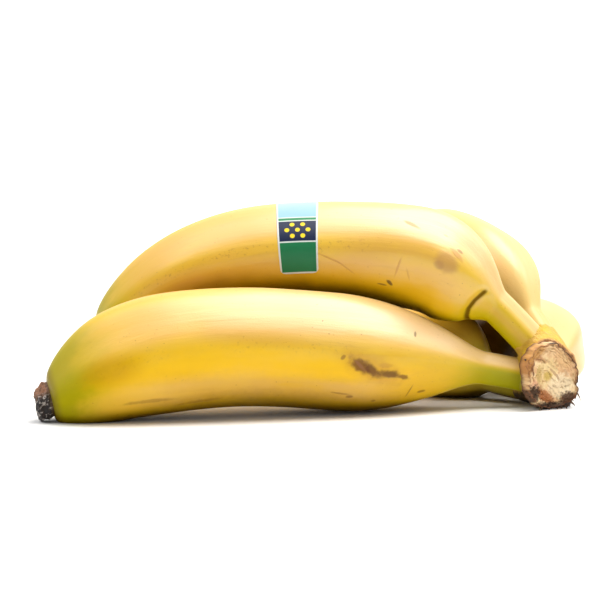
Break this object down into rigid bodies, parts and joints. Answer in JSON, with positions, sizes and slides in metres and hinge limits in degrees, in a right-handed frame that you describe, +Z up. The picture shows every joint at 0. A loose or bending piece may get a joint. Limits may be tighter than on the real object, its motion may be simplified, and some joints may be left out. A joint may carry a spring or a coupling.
{
  "type": "bunch of bananas",
  "caption": "Hand of ripe yellow bananas joined at a cut crown, lying on a surface, with dried blossom ends and a small plain label.",
  "frame": {"origin": "middle of the base of the whole hand, on the surface it lies on", "axes": "+Z up; +X towards the crown's side, away from the tips of the two fruits at the front; -Y towards the viewer, whom the crown's cut face looks at; +Y to the back, where the other fruits reach"},
  "size_m": [0.1859, 0.2064, 0.0695],
  "materials": {
    "peel": "smooth waxy banana peel, ripe yellow with green at the necks and tips, light brown freckles and bruises",
    "crown": "dried cut plant tissue, cream and pink-brown, dark at the rim",
    "blossom": "dried, dark brown and crumbly",
    "label": "thin coated paper, satin, with plain bands of colour"
  },
  "bodies": {
    "root": {"crown": "crown", "banana_front": "peel", "banana_top": "peel", "banana_back_top": "peel", "banana_far": "peel", "banana_back_low": "peel", "blossom_end_front": "blossom", "blossom_end_top": "blossom", "blossom_end_back_top": "blossom", "blossom_end_far": "blossom", "blossom_end_back_low": "blossom", "label": "label"}
  },
  "joints": []
}
